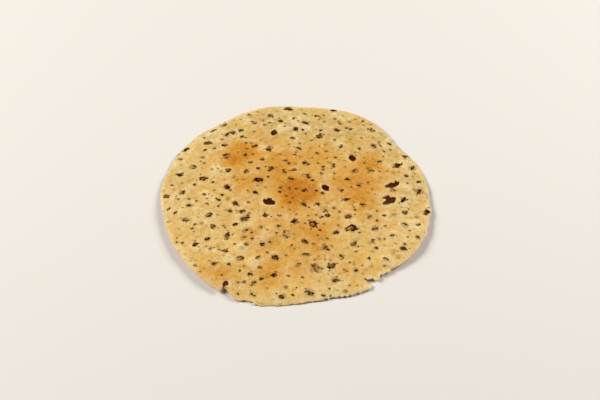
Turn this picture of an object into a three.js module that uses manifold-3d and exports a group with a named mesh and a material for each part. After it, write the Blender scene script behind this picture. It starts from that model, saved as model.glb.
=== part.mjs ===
// A papadum: one round of crisp roasted lentil sheet, about 165 mm across and 1 mm thick,
// domed a little in the middle, wavy at the rim and full of cracked black pepper.
// It lies on three low places of its rim, flat at their feet. Millimetres, +Z up, +Y away from the diner,
// with the origin on the table under the middle.

import * as THREE from "three";
import { mergeVertices } from "three/addons/utils/BufferGeometryUtils.js";
import Module from "manifold-3d";

const wasm = await Module();
wasm.setup();

// The sheet
const RADIUS = 82.4;
const THICKNESS = 1.0;
const DOME_RISE = 3.6;
const DOME_POWER = 3; // a flat middle that falls away towards the rim
const RINGS = 19; // rings of triangles from the middle to the rim
const RIM_CRUMBLE = 0.5; // how far the broken edge wanders in and out
const SHEET_COLOUR = 0xdaaf63;
const SHEET_ROUGHNESS = 0.6;

// Three lobes round the rim: three lifts, and between them the three feet that it lies on
const RIM_LOBES = { count: 3, height: 1.2, turn: -25 };
const LEVELLING = { x: -0.0036, y: 0.0044 }; // slopes that bring the three feet level
const FEET_FLAT = 0.1; // how much of the feet has sagged flat on the table

// Waves that take the outline off a true circle: how many round the rim, how deep, and which way
const OUTLINE_WAVES = [
  { count: 2, depth: 0.35, turn: 112 },
  { count: 3, depth: 0.6, turn: 15 },
  { count: 4, depth: 1.3, turn: -100 },
  { count: 6, depth: 0.35, turn: 0 },
  { count: 8, depth: 0.45, turn: 136 },
  { count: 9, depth: 0.6, turn: 139 },
  { count: 12, depth: 0.3, turn: -80 },
];

// Places where the rim is dented in, or stands out where the depth is below zero, in degrees round it
const RIM_DENTS = [
  { heading: -73.5, spread: 4, depth: 1.6 },
  { heading: -59.5, spread: 5, depth: -1.5 },
  { heading: -49.5, spread: 4.5, depth: 1.3 },
  { heading: -12.5, spread: 1.5, depth: 0.8 },
  { heading: 64, spread: 12, depth: -1.2 },
  { heading: 103, spread: 6, depth: -1.2 },
  { heading: 136, spread: 8, depth: -1.3 },
  { heading: 154, spread: 6, depth: -1.1 },
];

// Long low cockles across the sheet
const COCKLES = [
  { span: 66, heading: 20, height: 0.35, phase: 125 },
  { span: 49, heading: 78, height: 0.3, phase: -60 },
  { span: 37, heading: 141, height: 0.2, phase: 135 },
  { span: 24, heading: 52, height: 0.12, phase: 300 },
];

// Smooth blisters that puffed up in the heat
const BLISTERS = [
  { x: 0.5, y: 66.5, width: 9 },
  { x: -8, y: 58.5, width: 8 },
  { x: 7.5, y: 58.5, width: 7 },
  { x: -21, y: 39.5, width: 8 },
  { x: -49, y: 23.5, width: 8 },
  { x: -39, y: -51, width: 7 },
  { x: -24, y: -53.5, width: 8 },
  { x: -32, y: -42.5, width: 8 },
  { x: -17.5, y: -34, width: 9 },
  { x: 74, y: -26.5, width: 7 },
];
const BLISTER_STEEPNESS = 0.09; // height of a blister for each millimetre of its width

// Ragged tears where blisters burst right through, by their corners in plan
const RIGHT_TEAR = [
  [54.8, 6.7], [56.4, 8.5], [59.3, 10.4], [61.2, 10.3], [62.2, 12.8], [62.9, 10.6],
  [64.0, 11.8], [64.4, 9.7], [62.6, 7.4], [60.4, 6.1], [58.2, 5.4], [56.2, 5.8],
];
const TONGUED_TEAR = [
  [52.8, -3.5], [54.6, -2.3], [56.6, -1.0], [57.4, -1.3], [57.9, -2.6], [59.1, -2.0],
  [61.7, -2.3], [61.4, -4.4], [59.8, -6.8], [57.0, -8.0], [54.2, -8.5], [52.8, -7.8],
  [54.4, -6.4], [56.3, -4.5], [55.6, -3.5], [54.0, -3.3],
];
const FAR_TEAR = [
  [34.1, 31.4], [34.2, 33.4], [35.6, 34.8], [37.2, 34.2],
  [38.3, 32.4], [37.9, 30.3], [36.6, 29.3], [35.2, 29.9],
];
const MIDDLE_TEAR = [
  [16.2, 5.7], [17.0, 7.4], [18.0, 7.2], [18.7, 7.9], [20.0, 7.2],
  [20.8, 5.8], [20.7, 3.6], [19.6, 2.9], [17.9, 3.5], [16.8, 4.4],
];
const LEFT_TEAR = [
  [-19.2, -5.6], [-18.8, -3.9], [-18.2, -4.2], [-17.5, -6.0], [-16.5, -4.0], [-14.1, -3.9], [-14.3, -5.4],
  [-12.3, -6.3], [-11.9, -8.0], [-13.2, -9.2], [-15.8, -9.1], [-17.6, -8.3], [-18.9, -7.2],
];

// Damage at the rim: a split with a small hole at its end, a step beside it, a notch and a bite
const SPLIT = [
  [-41.3, -68.2], [-40.5, -66.8], [-38.3, -66.4], [-37.5, -69.1], [-39.4, -70.2],
  [-40.4, -71.2], [-39.0, -72.0], [-37.7, -73.4], [-34.6, -77.9], [-33.6, -79.5],
  [-34.0, -88.0], [-47.0, -84.0], [-42.5, -74.4], [-41.2, -70.7],
];
const RIM_STEP = [
  [-30.5, -79.4], [-28.4, -79.0], [-26.2, -79.9], [-23.4, -80.0],
  [-22.9, -82.0], [-22.0, -88.0], [-33.0, -88.0],
];
const FRONT_NOTCH = [
  [44.5, -68.3], [42.4, -67.5], [41.5, -66.1], [42.4, -64.0], [44.4, -63.2], [46.6, -64.4],
  [48.7, -64.3], [54.0, -70.0], [44.0, -78.0], [41.9, -72.0], [43.3, -70.3],
];
const FRONT_BITE = [
  [48.7, -64.3], [49.1, -63.0], [48.5, -61.6], [49.5, -61.0], [52.1, -59.6], [57.0, -60.0], [54.0, -68.0],
];
const DAMAGE = [
  RIGHT_TEAR, TONGUED_TEAR, FAR_TEAR, MIDDLE_TEAR, LEFT_TEAR,
  SPLIT, RIM_STEP, FRONT_NOTCH, FRONT_BITE,
];

// Cracked pepper: the largest pieces by place, and then a seeded scatter of smaller ones
const PEPPER_LANDMARKS = [
  { x: -44, y: 54, length: 4.6, width: 3.0, turn: 30 },
  { x: -40, y: 56, length: 4.4, width: 3.0, turn: 15 },
  { x: -35, y: 57.5, length: 4.0, width: 2.8, turn: 40 },
  { x: -30, y: -21, length: 7.0, width: 4.7, turn: 35 },
  { x: -22.5, y: 11.5, length: 6.6, width: 4.2, turn: 175 },
  { x: 33.5, y: -28, length: 7.0, width: 4.8, turn: 23 },
  { x: -56.5, y: 15, length: 6.1, width: 4.7, turn: 10 },
  { x: -40, y: -33.5, length: 6.5, width: 4.1, turn: 81 },
  { x: -13.5, y: 54.5, length: 5.2, width: 4.5, turn: 0 },
  { x: 64, y: 27, length: 5.8, width: 4.3, turn: 63 },
  { x: 21.5, y: -56, length: 5.5, width: 4.0, turn: 20 },
  { x: 10.5, y: -25.5, length: 5.3, width: 4.8, turn: 60 },
  { x: 12, y: -57.5, length: 7.0, width: 3.5, turn: 107 },
  { x: 8, y: -74, length: 6.8, width: 2.8, turn: 158 },
  { x: 66, y: -4, length: 5.1, width: 3.5, turn: 72 },
  { x: -11.5, y: -49.5, length: 5.2, width: 3.5, turn: 160 },
  { x: 32, y: -18.5, length: 5.4, width: 3.5, turn: 5 },
  { x: 47.5, y: -28, length: 5.5, width: 3.1, turn: 34 },
  { x: 34.5, y: -40, length: 5.2, width: 3.1, turn: 42 },
  { x: 6.5, y: 64, length: 5.7, width: 3.3, turn: 170 },
  { x: -15, y: 21, length: 4.6, width: 3.7, turn: 30 },
  { x: -42, y: 6.5, length: 5.7, width: 3.4, turn: 150 },
  { x: -4.5, y: 78.6, length: 6.4, width: 4.0, turn: 165 },
  { x: 25, y: 77.8, length: 4.4, width: 2.8, turn: 10 },
  { x: -69.8, y: 42.6, length: 6.0, width: 4.0, turn: 40 },
  { x: 19.5, y: -17.6, length: 4.5, width: 3.2, turn: 20 },
  { x: 15.8, y: -19, length: 3.5, width: 2.2, turn: 20 },
  { x: 79.2, y: -13.2, length: 5.6, width: 3.2, turn: 75 },
  { x: 75.9, y: 4.4, length: 5.8, width: 3.2, turn: 86 },
  { x: 73.5, y: 25.9, length: 5.9, width: 2.6, turn: 63 },
  { x: -12, y: -61.8, length: 5.1, width: 3.2, turn: 175 },
  { x: 30.7, y: -4, length: 5.1, width: 3.0, turn: 15 },
  { x: -58.2, y: -40, length: 3.9, width: 3.4, turn: 25 },
  { x: 26.6, y: 58.1, length: 4.7, width: 3.1, turn: 163 },
  { x: 0.2, y: 58.2, length: 4.0, width: 3.3, turn: 87 },
  { x: -17.5, y: -18.2, length: 4.6, width: 3.4, turn: 176 },
  { x: 24.2, y: 24.5, length: 5.0, width: 2.7, turn: 90 },
  { x: -30, y: 19, length: 4.8, width: 2.6, turn: 78 },
];
const PEPPER_COUNT = 330; // all the pieces in a real round, landmarks and scatter together
const PEPPER_MODELLED = 155; // the largest of them, fused to the sheet here
const PEPPER_LENGTH = { least: 0.9, most: 5.6, falling: 1.7 };
const PEPPER_SLIMNESS = { least: 0.36, most: 0.74 };
const PEPPER_LEAN = 60; // pieces lie within this many degrees of the X axis
const PEPPER_HEIGHT = 1.3;
const PEPPER_RAISE = 0.35; // middle of a piece above the middle of the sheet
const PEPPER_ROUGHING = 0.35;
const PEPPER_TRIES = 8; // places drawn for each piece, of which the emptiest is kept
const PEPPER_EDGE_GAP = 2.5;
const DAMAGE_GAP = 1.5; // clear distance that the scatter counts round each corner of a tear
const PEPPER_SEED = 2024;
const SHAPE_SEED = 77;

const CUT_BELOW = -10; // cutters reach from here to well above the sheet
const CUT_DEPTH = 30;

const radians = THREE.MathUtils.degToRad;

// Repeatable draws from 0 to 1.
function seededDraws(seed) {
  let state = seed;
  return () => {
    state = (state * 1664525 + 1013904223) % 4294967296;
    return state / 4294967296;
  };
}

// Radius of the round in a direction given in radians.
function outlineRadius(angle) {
  let radius = RADIUS;
  for (const wave of OUTLINE_WAVES) {
    radius += wave.depth * Math.cos(wave.count * angle - radians(wave.turn));
  }
  for (const dent of RIM_DENTS) {
    const turned = THREE.MathUtils.radToDeg(angle) - dent.heading;
    const away = (THREE.MathUtils.euclideanModulo(turned + 180, 360) - 180) / dent.spread;
    radius -= dent.depth * Math.exp(-away * away);
  }
  return radius;
}

// Height that the blisters add at a place.
function blisterHeight(x, y) {
  let height = 0;
  for (const blister of BLISTERS) {
    const away = Math.hypot(x - blister.x, y - blister.y) / (blister.width / 2);
    height += BLISTER_STEEPNESS * blister.width * Math.exp(-away * away);
  }
  return height;
}

// Height of the middle of the sheet at a place: dome, rim lobes, cockles and blisters.
function sheetHeight(x, y) {
  const share = Math.hypot(x, y) / RADIUS;
  const angle = Math.atan2(y, x) - radians(RIM_LOBES.turn);
  let height = DOME_RISE * (1 - share ** DOME_POWER);
  height += LEVELLING.x * x + LEVELLING.y * y;
  height += RIM_LOBES.height * share ** 2 * Math.cos(RIM_LOBES.count * angle);
  for (const cockle of COCKLES) {
    const along = x * Math.cos(radians(cockle.heading)) + y * Math.sin(radians(cockle.heading));
    height += cockle.height * Math.sin((2 * Math.PI * along) / cockle.span + radians(cockle.phase));
  }
  return height + blisterHeight(x, y);
}

// Upward direction of the sheet at a place.
function sheetNormal(x, y) {
  const step = 0.5;
  const slopeX = (sheetHeight(x + step, y) - sheetHeight(x - step, y)) / (2 * step);
  const slopeY = (sheetHeight(x, y + step) - sheetHeight(x, y - step)) / (2 * step);
  return new THREE.Vector3(-slopeX, -slopeY, 1).normalize();
}

// Plan of the sheet: the middle, then rings of 6, 12, 18 and more points out to the crumbled rim.
function sheetPlan() {
  const draw = seededDraws(SHAPE_SEED);
  const points = [new THREE.Vector2(0, 0)];
  for (let ring = 1; ring <= RINGS; ring++) {
    const count = 6 * ring;
    for (let k = 0; k < count; k++) {
      const angle = (2 * Math.PI * k) / count;
      const crumble = ring === RINGS ? RIM_CRUMBLE * (draw() - 0.5) : 0;
      const reach = (outlineRadius(angle) * ring) / RINGS + crumble;
      points.push(new THREE.Vector2(reach * Math.cos(angle), reach * Math.sin(angle)));
    }
  }
  return points;
}

// Index of the k-th point of a ring in the plan.
function ringIndex(ring, k) {
  return ring === 0 ? 0 : 1 + 3 * ring * (ring - 1) + (k % (6 * ring));
}

// Triangles of the plan, anticlockwise from above, in six wedges of rows.
function planTriangles() {
  const triangles = [];
  for (let ring = 1; ring <= RINGS; ring++) {
    for (let wedge = 0; wedge < 6; wedge++) {
      for (let k = 0; k < ring; k++) {
        const outer = ringIndex(ring, wedge * ring + k);
        const outerNext = ringIndex(ring, wedge * ring + k + 1);
        const inner = ringIndex(ring - 1, wedge * (ring - 1) + k);
        triangles.push([inner, outer, outerNext]);
        if (k < ring - 1) {
          const innerNext = ringIndex(ring - 1, wedge * (ring - 1) + k + 1);
          triangles.push([inner, outerNext, innerNext]);
        }
      }
    }
  }
  return triangles;
}

// The thin wavy sheet: top and bottom split alike, closed by a band round the rim.
function sheetGeometry() {
  const plan = sheetPlan();
  const positions = [];
  for (const side of [THICKNESS / 2, -THICKNESS / 2]) {
    for (const point of plan) {
      positions.push(point.x, point.y, sheetHeight(point.x, point.y) + side);
    }
  }
  const below = plan.length;
  const index = [];
  for (const [a, b, c] of planTriangles()) {
    index.push(a, b, c);
    index.push(below + a, below + c, below + b);
  }
  for (let k = 0; k < 6 * RINGS; k++) {
    const here = ringIndex(RINGS, k);
    const next = ringIndex(RINGS, k + 1);
    index.push(here, below + here, below + next);
    index.push(here, below + next, next);
  }
  const geometry = new THREE.BufferGeometry();
  geometry.setAttribute("position", new THREE.Float32BufferAttribute(positions, 3));
  geometry.setIndex(index);
  return geometry;
}

// A geometry with nothing but its positions, each shared corner once.
function bareGeometry(geometry) {
  const bare = geometry.clone();
  bare.deleteAttribute("normal");
  bare.deleteAttribute("uv");
  return mergeVertices(bare);
}

// A closed bare geometry as a solid that can be joined and cut.
function solidFrom(bare) {
  return new wasm.Manifold(
    new wasm.Mesh({
      numProp: 3,
      vertProperties: new Float32Array(bare.attributes.position.array),
      triVerts: new Uint32Array(bare.index.array),
    }),
  );
}

// The solid with its feet flat where it lies on the table.
function flatFooted(solid) {
  const lowest = solid.boundingBox().min[2];
  return solid.trimByPlane([0, 0, 1], lowest + FEET_FLAT);
}

// A solid back as a geometry, lowered until its lowest point is on the table.
function geometryOnTable(solid) {
  const made = solid.getMesh();
  const geometry = new THREE.BufferGeometry();
  geometry.setAttribute("position", new THREE.Float32BufferAttribute(made.vertProperties, 3));
  geometry.setIndex(new THREE.BufferAttribute(made.triVerts, 1));
  geometry.computeBoundingBox();
  geometry.translate(0, 0, -geometry.boundingBox.min.z);
  geometry.computeVertexNormals();
  return geometry;
}

// A cutter straight through the sheet, from the corners of a tear, notch or split in plan.
function cutterFrom(corners) {
  const outline = new THREE.Shape(corners.map(([x, y]) => new THREE.Vector2(x, y)));
  const cutter = new THREE.ExtrudeGeometry(outline, {
    depth: CUT_DEPTH,
    bevelEnabled: false,
  });
  cutter.translate(0, 0, CUT_BELOW);
  return solidFrom(bareGeometry(cutter));
}

// Clear distance from a place to the nearest of the pieces and tears already there.
function clearance(x, y, taken) {
  let least = Infinity;
  for (const other of taken) {
    least = Math.min(least, Math.hypot(x - other.x, y - other.y) - other.length / 2);
  }
  return least;
}

// Places and sizes of the pepper, largest first and spread evenly over the round.
function scatterPepper() {
  const draw = seededDraws(PEPPER_SEED);
  const pieces = [...PEPPER_LANDMARKS];
  const damaged = DAMAGE.flat().map(([x, y]) => ({ x, y, length: 2 * DAMAGE_GAP }));
  const taken = [...PEPPER_LANDMARKS, ...damaged];
  const scattered = PEPPER_COUNT - PEPPER_LANDMARKS.length;
  for (let rank = 0; rank < scattered; rank++) {
    const falling = (1 - rank / scattered) ** PEPPER_LENGTH.falling;
    const length = PEPPER_LENGTH.least + (PEPPER_LENGTH.most - PEPPER_LENGTH.least) * falling;
    let best = { gap: -Infinity };
    for (let attempt = 0; attempt < PEPPER_TRIES; attempt++) {
      const angle = 2 * Math.PI * draw();
      const reach = Math.sqrt(draw()) * (outlineRadius(angle) - PEPPER_EDGE_GAP);
      const x = reach * Math.cos(angle);
      const y = reach * Math.sin(angle);
      const gap = clearance(x, y, taken);
      if (gap > best.gap) best = { x, y, gap };
    }
    const slimness = THREE.MathUtils.lerp(PEPPER_SLIMNESS.least, PEPPER_SLIMNESS.most, draw());
    const turn = PEPPER_LEAN * (2 * draw() - 1);
    const piece = { x: best.x, y: best.y, length, width: length * slimness, turn };
    pieces.push(piece);
    taken.push(piece);
  }
  return pieces;
}

// One angular lump of pepper, lying along the sheet and sunk half into it.
function pepperSolid(piece, draw) {
  const lump = bareGeometry(new THREE.IcosahedronGeometry(1, 0));
  const corners = lump.attributes.position;
  for (let k = 0; k < corners.count; k++) {
    const reach = 1 + PEPPER_ROUGHING * (draw() - 0.5);
    corners.setXYZ(k, corners.getX(k) * reach, corners.getY(k) * reach, corners.getZ(k) * reach);
  }
  lump.scale(piece.length / 2, piece.width / 2, PEPPER_HEIGHT / 2);
  lump.rotateZ(radians(piece.turn));
  const upright = new THREE.Vector3(0, 0, 1);
  const lie = new THREE.Quaternion().setFromUnitVectors(upright, sheetNormal(piece.x, piece.y));
  lump.applyQuaternion(lie);
  lump.translate(piece.x, piece.y, sheetHeight(piece.x, piece.y) + PEPPER_RAISE);
  return solidFrom(lump);
}

// The whole papadum: the sheet with its damage cut out and its pepper joined on.
function papadumGeometry() {
  let solid = solidFrom(sheetGeometry());
  for (const corners of DAMAGE) {
    solid = solid.subtract(cutterFrom(corners));
  }
  const draw = seededDraws(SHAPE_SEED);
  for (const piece of scatterPepper().slice(0, PEPPER_MODELLED)) {
    solid = solid.add(pepperSolid(piece, draw));
  }
  return geometryOnTable(flatFooted(solid));
}

const papadum = new THREE.Mesh(
  papadumGeometry(),
  new THREE.MeshStandardMaterial({
    color: SHEET_COLOUR,
    roughness: SHEET_ROUGHNESS,
    metalness: 0,
  }),
);
papadum.name = "papadum";

const part = new THREE.Group();
part.add(papadum);

export default part;
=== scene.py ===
# A papadum: a thin crisp round of roasted lentil sheet with cracked black pepper, toasted patches,
# small tears and a nicked rim. Sizes and places are in millimetres, apart from the floor's and the
# lamps', and MM turns them into metres where meshes and the camera are made. +Z is up and +Y is away
# from the viewer.
import math
from collections import namedtuple

import bmesh
import bpy
import numpy as np
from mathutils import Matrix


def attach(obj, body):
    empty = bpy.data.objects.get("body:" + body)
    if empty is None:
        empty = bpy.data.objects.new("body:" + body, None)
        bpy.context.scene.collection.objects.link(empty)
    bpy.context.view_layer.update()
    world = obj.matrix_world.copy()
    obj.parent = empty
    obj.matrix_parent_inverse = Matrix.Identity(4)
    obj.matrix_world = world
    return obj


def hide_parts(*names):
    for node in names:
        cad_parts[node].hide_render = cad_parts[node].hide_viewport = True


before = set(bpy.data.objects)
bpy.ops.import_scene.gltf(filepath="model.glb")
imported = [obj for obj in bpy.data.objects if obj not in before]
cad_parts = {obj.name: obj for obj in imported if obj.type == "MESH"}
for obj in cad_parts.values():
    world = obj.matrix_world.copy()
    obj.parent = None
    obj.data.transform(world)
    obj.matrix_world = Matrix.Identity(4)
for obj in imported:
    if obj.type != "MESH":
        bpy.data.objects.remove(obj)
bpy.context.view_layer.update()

MM = 0.001
NODE = "papadum"
BODY = "root"

Mound = namedtuple("Mound", "x y width height")
Pepper = namedtuple("Pepper", "x y length width turn kind tone", defaults=[None, None])
Chip = namedtuple("Chip", "x y length width height turn rise tone")
Husk = namedtuple("Husk", "x y length width turn opening span rise tone")
Ring = namedtuple("Ring", "least most reaches sizes shade")
Lamp = namedtuple("Lamp", "name place size watts")

# The sheet: the same form as the solid
RADIUS = 82.4
THICKNESS = 1.0
DOME_RISE = 3.6
DOME_POWER = 3
LOBE_COUNT, LOBE_HEIGHT, LOBE_TURN = 3, 1.2, -25
LEVELLING_X, LEVELLING_Y = -0.0036, 0.0044  # slopes that bring its three feet to one level
FEET_FLAT = 0.1  # how much of the feet has sagged flat on the table

# Waves of the outline: how many round the rim, how deep, and which way
OUTLINE_WAVES = [
    (2, 0.35, 112),
    (3, 0.6, 15),
    (4, 1.3, -100),
    (6, 0.35, 0),
    (8, 0.45, 136),
    (9, 0.6, 139),
    (12, 0.3, -80),
]

# Places where the rim is dented in, or stands out where the depth is below zero: heading, spread, depth
RIM_DENTS = [
    (-73.5, 4, 1.6),
    (-59.5, 5, -1.5),
    (-49.5, 4.5, 1.3),
    (-12.5, 1.5, 0.8),
    (64, 12, -1.2),
    (103, 6, -1.2),
    (136, 8, -1.3),
    (154, 6, -1.1),
]

# Long low cockles: span, heading, height and phase
COCKLES = [
    (66, 20, 0.35, 125),
    (49, 78, 0.3, -60),
    (37, 141, 0.2, 135),
    (24, 52, 0.12, 300),
]

# The largest blisters: place and width
BLISTERS = [
    (0.5, 66.5, 9),
    (-8, 58.5, 8),
    (7.5, 58.5, 7),
    (-21, 39.5, 8),
    (-49, 23.5, 8),
    (-39, -51, 7),
    (-24, -53.5, 8),
    (-32, -42.5, 8),
    (-17.5, -34, 9),
    (74, -26.5, 7),
]
BLISTER_STEEPNESS = 0.09

# Smaller blisters and pimples all over: how many, their widths and how steep they are
SMALL_BLISTERS = {"count": 150, "least": 3.0, "most": 7.5, "steepness": 0.05}
PIMPLES = {"count": 1300, "least": 1.3, "most": 3.0, "steepness": 0.1}
DOME_FLATNESS = 1.5  # of the smaller blisters
MOUND_HEIGHTS = (0.5, 1.2)  # least and most height of a scattered mound, as shares of its usual one
MOUND_REACH = 1.5  # beyond this many widths a mound adds nothing
RIPPLES = [(11, 5.5, 0.1), (12, 2.2, 0.06)]  # seed, span and height of the finest unevenness
SWELLING_REACH, SWELLING_HEIGHT = 1.5, 0.12  # how the sheet swells over a larger piece of pepper
RELIEF_SEED = 5
UNDERSIDE_SHARE = 0.6  # how much of the relief shows underneath

# Ragged tears through the sheet, by their corners in plan
RIGHT_TEAR = [
    (54.8, 6.7), (56.4, 8.5), (59.3, 10.4), (61.2, 10.3), (62.2, 12.8), (62.9, 10.6),
    (64, 11.8), (64.4, 9.7), (62.6, 7.4), (60.4, 6.1), (58.2, 5.4), (56.2, 5.8),
]
TONGUED_TEAR = [
    (52.8, -3.5), (54.6, -2.3), (56.6, -1), (57.4, -1.3), (57.9, -2.6), (59.1, -2),
    (61.7, -2.3), (61.4, -4.4), (59.8, -6.8), (57, -8), (54.2, -8.5), (52.8, -7.8),
    (54.4, -6.4), (56.3, -4.5), (55.6, -3.5), (54, -3.3),
]
FAR_TEAR = [
    (34.1, 31.4), (34.2, 33.4), (35.6, 34.8), (37.2, 34.2),
    (38.3, 32.4), (37.9, 30.3), (36.6, 29.3), (35.2, 29.9),
]
MIDDLE_TEAR = [
    (16.2, 5.7), (17, 7.4), (18, 7.2), (18.7, 7.9), (20, 7.2),
    (20.8, 5.8), (20.7, 3.6), (19.6, 2.9), (17.9, 3.5), (16.8, 4.4),
]
LEFT_TEAR = [
    (-19.2, -5.6), (-18.8, -3.9), (-18.2, -4.2), (-17.5, -6), (-16.5, -4), (-14.1, -3.9), (-14.3, -5.4),
    (-12.3, -6.3), (-11.9, -8), (-13.2, -9.2), (-15.8, -9.1), (-17.6, -8.3), (-18.9, -7.2),
]
TEAR_GROWTH = 0.3  # how far the torn edges have crumbled back from these corners

# Damage at the rim: a split with a small hole at its end, a step beside it, a notch and a bite
SPLIT = [
    (-41.3, -68.2), (-40.5, -66.8), (-38.3, -66.4), (-37.5, -69.1), (-39.4, -70.2),
    (-40.4, -71.2), (-39, -72), (-37.7, -73.4), (-34.6, -77.9), (-33.6, -79.5),
    (-34, -88), (-47, -84), (-42.5, -74.4), (-41.2, -70.7),
]
RIM_STEP = [
    (-30.5, -79.4), (-28.4, -79), (-26.2, -79.9), (-23.4, -80),
    (-22.9, -82), (-22, -88), (-33, -88),
]
FRONT_NOTCH = [
    (44.5, -68.3), (42.4, -67.5), (41.5, -66.1), (42.4, -64), (44.4, -63.2), (46.6, -64.4),
    (48.7, -64.3), (54, -70), (44, -78), (41.9, -72), (43.3, -70.3),
]
FRONT_BITE = [
    (48.7, -64.3), (49.1, -63), (48.5, -61.6), (49.5, -61), (52.1, -59.6), (57, -60), (54, -68),
]
TEARS = [RIGHT_TEAR, TONGUED_TEAR, FAR_TEAR, MIDDLE_TEAR, LEFT_TEAR]
RIM_DAMAGE = [SPLIT, RIM_STEP, FRONT_NOTCH, FRONT_BITE]

# Broken edges: how far they wander, over what span, and how much more on the ragged front right
EDGE_SEED = 21
EDGE_SPAN = 1.5
EDGE_WANDER = 0.26
RAGGED_HEADING = -45
RAGGED_EXTRA = 2.4
EDGE_SHARE = 0.42  # thickness at an edge, as a share of the sheet's
EDGE_TAPER = 1.6  # how far in the sheet is thinner
EDGE_BULGE = 0.1  # how far the middle of an edge stands out
LIP_HEIGHT, LIP_REACH = 0.22, 1.1  # the raised lip along tears and damage
EDGE_PALE_REACH, EDGE_PALENESS = 3.0, 0.5  # the sheet pales towards every broken edge
CREAM_REACH = 1.1  # how far in the rim is creamy and painted lighter
CREAM_LEAST, CREAM_AND_LIGHT_EXTRA = 0.15, 0.75  # how strongly, and how much more on the ragged front right, partly a painted highlight on the edge

# The mesh of the sheet: its upper and lower points, and those half way down its edges
UPPER, LOWER, BAND = 0, 1, 2
SPACING = 0.75
SNAP_REACH = 0.33 * SPACING  # points nearer to an edge than this are moved on to it
SNAP_STEPS = 4
STRAY_LIMIT = 0.4 * SPACING  # unless that moves them further than this
SNAP_SLOPE_STEP = 0.02
LEAST_SQUARED_SLOPE = 0.25
EDGE_MARGIN = 4  # how far the mesh reaches past the round before it is cut off
NOISE_TILE = 256  # noise repeats after this many spans

# Toasted patches: place, radius and strength, as in the three lists after it
TOASTED = [
    (1.2, 0.2, 9.8, 1.25),
    (-37, 32, 8, 0.75),
    (-28, 40, 9, 0.6),
    (-31, 11, 11, 0.4),
    (-9, 33, 12, 0.28),
    (15, 34, 11, 0.29),
    (-9, 17, 12, 0.3),
    (47, 27, 9.5, 0.65),
    (46, 42, 10, 0.1),
    (35, 12, 11, 0.45),
    (38, -3, 9, 0.35),
    (51, 11, 9, 0.25),
    (44, -12, 11, 0.3),
    (12, -33.5, 11, 0.48),
    (-17, -34, 11, 0.42),
    (5, -52, 11, 0.3),
    (30, -58, 14, 0.22),
    (-43, -60, 9, 0.45),
    (-17, -64, 9, 0.38),
    (-12, -57, 12, 0.3),
    (-56, 12, 10, 0.08),
    (-34, 56, 8, 0.08),
    (4, 6, 40, 0.22),
]

# Parts that stayed raw, a duller and greener straw, partly painted shade that darkens the far side
RAW_AND_FAR_SHADE = [
    (-52, 54, 17, 0.75),
    (-8, 66, 20, 0.8),
    (30, 58, 18, 0.7),
    (56, 54, 12, 0.5),
    (66, 36, 10, 0.5),
    (72, 8, 13, 0.7),
    (-74, -8, 15, 0.3),
    (-74, 18, 14, 0.5),
    (-36, -6, 20, 0.25),
]

# Parts that dried paler, those at the front partly painted light that brightens the front
PALE_AND_FRONT_LIGHT = [
    (54, -36, 20, 0.24),
    (-10, -41, 9, 0.12),
    (-75, -10, 10, 0.25),
    (20, -68, 13, 0.4),
    (-22, -70, 14, 0.1),
    (66, -12, 11, 0.2),
    (26, -10, 8, 0.3),
    (56, 55, 8, 0.25),
]

# Painted light: a brighter gold over the front of the sheet
PAINTED_FRONT_LIGHT = [
    (-40, -52, 20, 0.35),
    (-8, -66, 22, 0.5),
    (28, -58, 22, 0.55),
    (-12, -38, 14, 0.5),
    (54, -45, 12, 0.3),
]
UNDERSIDE_TOAST_AND_TEAR_SHADE = 0.85  # the underside is browner than the top, and the walls of the tears are browned as painted shade that darkens the tears
PALE_SPARED = 0.7  # how much less the pale places have browned, where the toast is light
BLISTER_FLATNESS = 2  # the pale tops of the largest blisters have clear borders
DOME_PALENESS, PIMPLE_PALENESS = 0.75, 0.45

# Noise that makes the borders of the patches wander
PATCH_SEEDS = (31, 32)
PATCH_SPAN, PATCH_WANDER = 9, 3.2
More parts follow.
